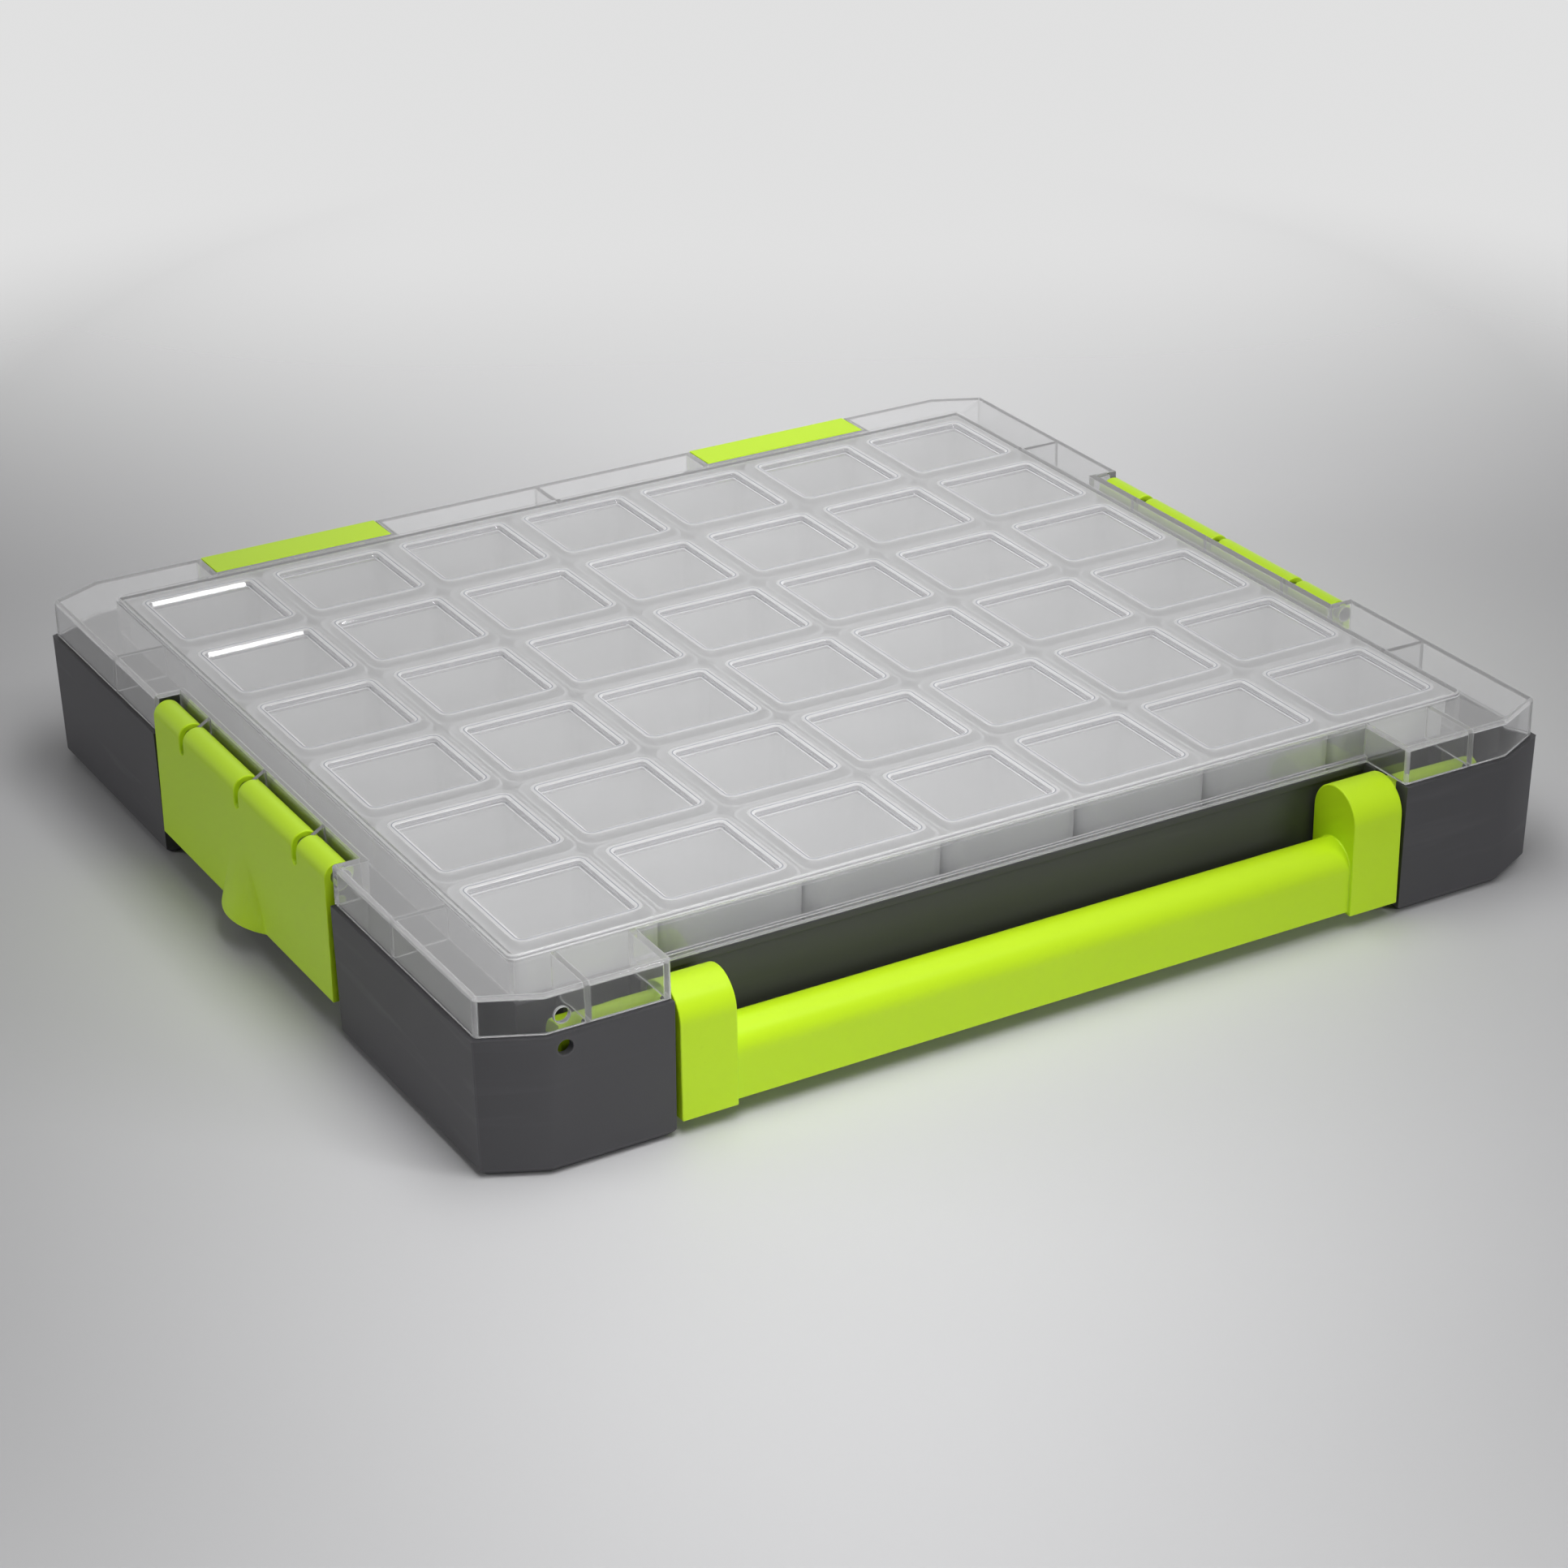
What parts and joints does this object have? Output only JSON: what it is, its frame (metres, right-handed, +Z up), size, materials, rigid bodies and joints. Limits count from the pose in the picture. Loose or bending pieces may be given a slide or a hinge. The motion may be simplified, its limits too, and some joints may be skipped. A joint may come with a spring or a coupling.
{
  "type": "fishing tackle box",
  "caption": "Flat tackle case with a grid of lift-out cups under a clear hinged lid, side latches on the lid and a fold-out carry handle in a front bay.",
  "frame": {"origin": "middle of the underside, where the case stands", "axes": "+X to the right along the front, +Y from the front to the hinges at the back, +Z up through the lid"},
  "size_m": [0.412, 0.3686, 0.063],
  "materials": {
    "case": "fine-grained charcoal moulding",
    "clear": "clear moulding",
    "lime": "satin lime moulding",
    "cup": "milky translucent moulding",
    "steel": "drawn wire"
  },
  "bodies": {
    "base": {"base_shell": "case", "hinge_pin_left": "steel", "hinge_pin_right": "steel", "cup_r1_c1": "cup", "cup_r1_c2": "cup", "cup_r1_c3": "cup", "cup_r1_c4": "cup", "cup_r1_c5": "cup", "cup_r1_c6": "cup", "cup_r1_c7": "cup", "cup_r2_c1": "cup", "cup_r2_c2": "cup", "cup_r2_c3": "cup", "cup_r2_c4": "cup", "cup_r2_c5": "cup", "cup_r2_c6": "cup", "cup_r2_c7": "cup", "cup_r3_c1": "cup", "cup_r3_c2": "cup", "cup_r3_c3": "cup", "cup_r3_c4": "cup", "cup_r3_c5": "cup", "cup_r3_c6": "cup", "cup_r3_c7": "cup", "cup_r4_c1": "cup", "cup_r4_c2": "cup", "cup_r4_c3": "cup", "cup_r4_c4": "cup", "cup_r4_c5": "cup", "cup_r4_c6": "cup", "cup_r4_c7": "cup", "cup_r5_c1": "cup", "cup_r5_c2": "cup", "cup_r5_c3": "cup", "cup_r5_c4": "cup", "cup_r5_c5": "cup", "cup_r5_c6": "cup", "cup_r5_c7": "cup", "cup_r6_c1": "cup", "cup_r6_c2": "cup", "cup_r6_c3": "cup", "cup_r6_c4": "cup", "cup_r6_c5": "cup", "cup_r6_c6": "cup", "cup_r6_c7": "cup"},
    "lid": {"lid": "clear", "hinge_left": "lime", "hinge_right": "lime"},
    "latch_left": {"latch_left": "lime"},
    "latch_right": {"latch_right": "lime"},
    "handle": {"handle": "lime"}
  },
  "joints": [
    {"name": "lid_hinge", "type": "hinge", "parent": "base", "child": "lid", "pos_m": [0, 0.1828, 0.0475], "axis": [-1, 0, 0], "range_deg": [0, 175]},
    {"name": "latch_left_swing", "type": "hinge", "parent": "lid", "child": "latch_left", "pos_m": [-0.1951, 0.002, 0.055], "axis": [0, 1, 0], "range_deg": [0, 150]},
    {"name": "latch_right_swing", "type": "hinge", "parent": "lid", "child": "latch_right", "pos_m": [0.1951, 0.002, 0.055], "axis": [0, -1, 0], "range_deg": [0, 150]},
    {"name": "handle_swing", "type": "hinge", "parent": "base", "child": "handle", "pos_m": [0, -0.17, 0.04], "axis": [-1, 0, 0], "range_deg": [0, 110]}
  ]
}
